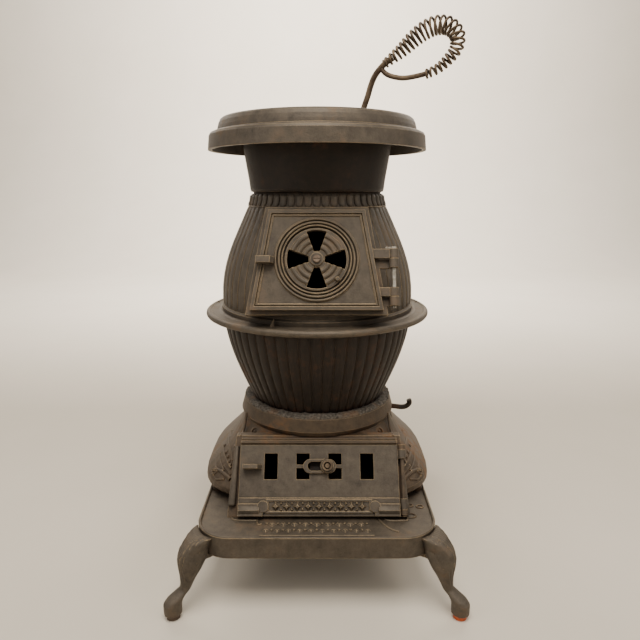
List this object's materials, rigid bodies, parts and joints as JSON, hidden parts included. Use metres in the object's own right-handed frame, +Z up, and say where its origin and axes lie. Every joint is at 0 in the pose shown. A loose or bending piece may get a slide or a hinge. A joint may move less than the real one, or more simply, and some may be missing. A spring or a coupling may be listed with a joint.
{
  "type": "wood burning stove",
  "caption": "Cast iron pot-belly wood stove on cabriole legs, with hinged feed and ash doors, draught registers, shaker grate, and a lift-out lid with its coil-handled lifter.",
  "frame": {"origin": "middle of the four feet, on the floor; the pot axis stands 24 mm behind it", "axes": "+Z up, front with both doors towards -Y, hinges and lid lifter on the +X side"},
  "size_m": [0.4152, 0.4634, 0.7935],
  "materials": {
    "foot_pad": "worn orange-red pad",
    "plate_iron": "worn dry cast iron, warm grey-brown",
    "pot_iron": "dark heat-stained cast iron with rust",
    "rust_iron": "rusty cast iron",
    "bolt_steel": "dull oxidised steel",
    "lifter_steel": "tan oxidised steel wire",
    "pin_steel": "bright worn steel",
    "cement": "crumbly furnace cement"
  },
  "bodies": {
    "stove": {"foot_pads": "foot_pad", "leg_front_left": "plate_iron", "leg_front_right": "plate_iron", "leg_rear_left": "plate_iron", "leg_rear_right": "plate_iron", "leg_bolts": "bolt_steel", "hearth_plate": "plate_iron", "ash_pit": "rust_iron", "pit_bolts": "bolt_steel", "ash_door_pin": "pin_steel", "fire_pot": "pot_iron", "cement_ring": "cement", "pot_flange": "plate_iron", "feed_section": "plate_iron", "feed_door_pin": "pin_steel", "flue_collar": "plate_iron", "flue_bolts": "bolt_steel", "smoke_baffle": "pot_iron", "drum": "pot_iron", "top_plate": "plate_iron"},
    "feed_door": {"feed_door": "plate_iron", "register_screw": "bolt_steel", "register_nut": "bolt_steel"},
    "register": {"register_disc": "plate_iron"},
    "ash_door": {"ash_door": "plate_iron"},
    "draft": {"draft_slide": "pot_iron", "draft_knob": "lifter_steel", "draft_washer": "plate_iron", "draft_nut": "bolt_steel"},
    "grate": {"grate": "pot_iron", "shaker_handle": "pot_iron", "shaker_pin": "bolt_steel"},
    "lid": {"lid": "plate_iron"},
    "lifter": {"lifter_shaft": "lifter_steel", "lifter_coil": "lifter_steel"}
  },
  "joints": [
    {"name": "feed_door_swing", "type": "hinge", "parent": "stove", "child": "feed_door", "pos_m": [0.105, -0.11116, 0.47402], "axis": [0, 0.3256, 0.9455], "range_deg": [0, 110]},
    {"name": "register_spin", "type": "hinge", "parent": "feed_door", "child": "register", "pos_m": [0, -0.114, 0.475], "axis": [0, -0.9455, 0.3256], "range_deg": [0, 45]},
    {"name": "ash_door_swing", "type": "hinge", "parent": "stove", "child": "ash_door", "pos_m": [0.125, -0.133, 0.157], "axis": [0, 0.5299, 0.848], "range_deg": [0, 100]},
    {"name": "draft_slide_shift", "type": "slide", "parent": "ash_door", "child": "draft", "axis": [-1, 0, 0], "range_m": [0, 0.022]},
    {"name": "grate_shake", "type": "hinge", "parent": "stove", "child": "grate", "pos_m": [0, 0.024, 0.209], "axis": [0, 0, 1], "range_deg": [-10, 10]},
    {"name": "lid_lift", "type": "slide", "parent": "stove", "child": "lid", "axis": [0, 0, 1], "range_m": [0, 0.06]},
    {"name": "lifter_draw", "type": "slide", "parent": "lid", "child": "lifter", "axis": [0, 0, 1], "range_m": [0, 0.03]}
  ]
}
